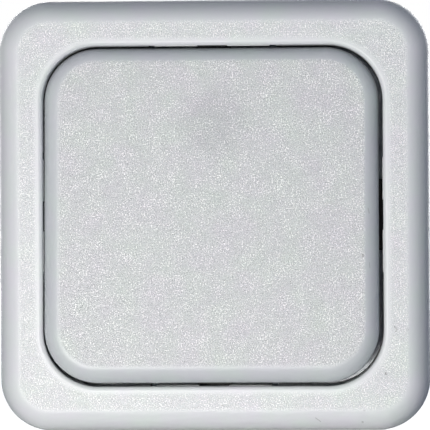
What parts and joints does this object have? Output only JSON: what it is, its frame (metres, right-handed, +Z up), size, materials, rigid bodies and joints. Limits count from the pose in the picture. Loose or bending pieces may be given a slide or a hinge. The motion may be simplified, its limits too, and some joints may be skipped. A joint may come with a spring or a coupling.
{
  "type": "light switch",
  "caption": "Square flush wall switch with one large rocker in a rounded cover frame, and the insert behind it.",
  "frame": {"origin": "centre of the switch in the plane of the wall's face, midway between the two box screws", "axes": "+Z up, +Y into the wall, -Y towards the room, +X to the right seen from the room"},
  "size_m": [0.08, 0.0365, 0.08],
  "materials": {
    "white_plastic": "fine spark-eroded grain, smooth edges",
    "grey_plastic": "matt",
    "button_plastic": "satin",
    "zinc_steel": "zinc plated",
    "spring_steel": "bright",
    "brass": "satin",
    "contact_silver": "polished"
  },
  "bodies": {
    "insert": {"cover_frame": "white_plastic", "fixed_tip_upper": "contact_silver", "fixed_tip_lower": "contact_silver", "common_terminal": "brass", "upper_contact": "brass", "lower_contact": "brass", "clamp_spring_common_upper": "spring_steel", "clamp_spring_common_lower": "spring_steel", "clamp_spring_upper": "spring_steel", "clamp_spring_lower": "spring_steel", "base_housing": "grey_plastic", "insert_cover": "grey_plastic", "support_ring": "zinc_steel", "housing_screws": "zinc_steel"},
    "rocker": {"rocker": "white_plastic", "toggle": "grey_plastic", "toggle_spring": "spring_steel"},
    "plunger": {"plunger": "grey_plastic"},
    "contact_lever": {"contact_lever": "brass", "lever_tip_upper": "contact_silver", "lever_tip_lower": "contact_silver"},
    "left_claw": {"left_claw": "zinc_steel"},
    "right_claw": {"right_claw": "zinc_steel"},
    "left_claw_screw": {"left_claw_screw": "zinc_steel"},
    "right_claw_screw": {"right_claw_screw": "zinc_steel"},
    "left_claw_nut": {"left_claw_nut": "zinc_steel"},
    "right_claw_nut": {"right_claw_nut": "zinc_steel"},
    "left_release_button": {"left_release_button": "button_plastic"},
    "right_release_button": {"right_release_button": "button_plastic"}
  },
  "joints": [
    {"name": "rocker_tilt", "type": "hinge", "parent": "insert", "child": "rocker", "pos_m": [0, -0.0055, 0], "axis": [1, 0, 0], "range_deg": [0, 7]},
    {"name": "plunger_slide", "type": "slide", "parent": "rocker", "child": "plunger", "axis": [0, -0.9981, 0.061], "range_m": [0, 0.0006], "stiffness_N_per_m": 450, "springref_m": -0.003, "deforming": ["toggle_spring"]},
    {"name": "lever_rock", "type": "hinge", "parent": "insert", "child": "contact_lever", "pos_m": [0, 0.0103, 0], "axis": [1, 0, 0], "range_deg": [-16, 0]},
    {"name": "left_claw_screw_turn", "type": "hinge", "parent": "insert", "child": "left_claw_screw", "pos_m": [-0.0235, 0, 0], "axis": [0, 1, 0], "range_deg": [0, 1260]},
    {"name": "right_claw_screw_turn", "type": "hinge", "parent": "insert", "child": "right_claw_screw", "pos_m": [0.0235, 0, 0], "axis": [0, 1, 0], "range_deg": [0, 1260]},
    {"name": "left_claw_spread", "type": "hinge", "parent": "insert", "child": "left_claw", "pos_m": [-0.0205, -0.00175, 0], "axis": [0, 0, 1], "range_deg": [0, 9]},
    {"name": "right_claw_spread", "type": "hinge", "parent": "insert", "child": "right_claw", "pos_m": [0.0205, -0.00175, 0], "axis": [0, 0, -1], "range_deg": [0, 9]},
    {"name": "left_claw_nut_slide", "type": "slide", "parent": "insert", "child": "left_claw_nut", "axis": [0, -1, 0], "range_m": [0, 0.00175]},
    {"name": "right_claw_nut_slide", "type": "slide", "parent": "insert", "child": "right_claw_nut", "axis": [0, -1, 0], "range_m": [0, 0.00175]},
    {"name": "left_release_press", "type": "slide", "parent": "insert", "child": "left_release_button", "axis": [0, -1, 0], "range_m": [0, 0.0015], "stiffness_N_per_m": 300, "springref_m": -0.001, "deforming": ["clamp_spring_common_upper", "clamp_spring_common_lower"]},
    {"name": "right_release_press", "type": "slide", "parent": "insert", "child": "right_release_button", "axis": [0, -1, 0], "range_m": [0, 0.0015], "stiffness_N_per_m": 300, "springref_m": -0.001, "deforming": ["clamp_spring_upper", "clamp_spring_lower"]}
  ],
  "couplings": [
    {"joint": "lever_rock", "follows": "rocker_tilt", "ratio": -2.2857},
    {"joint": "left_claw_screw_turn", "follows": "left_claw_nut_slide", "rad_per_m": 12566},
    {"joint": "right_claw_screw_turn", "follows": "right_claw_nut_slide", "rad_per_m": 12566},
    {"joint": "left_claw_spread", "follows": "left_claw_nut_slide", "rad_per_m": 89.75},
    {"joint": "right_claw_spread", "follows": "right_claw_nut_slide", "rad_per_m": 89.75}
  ]
}
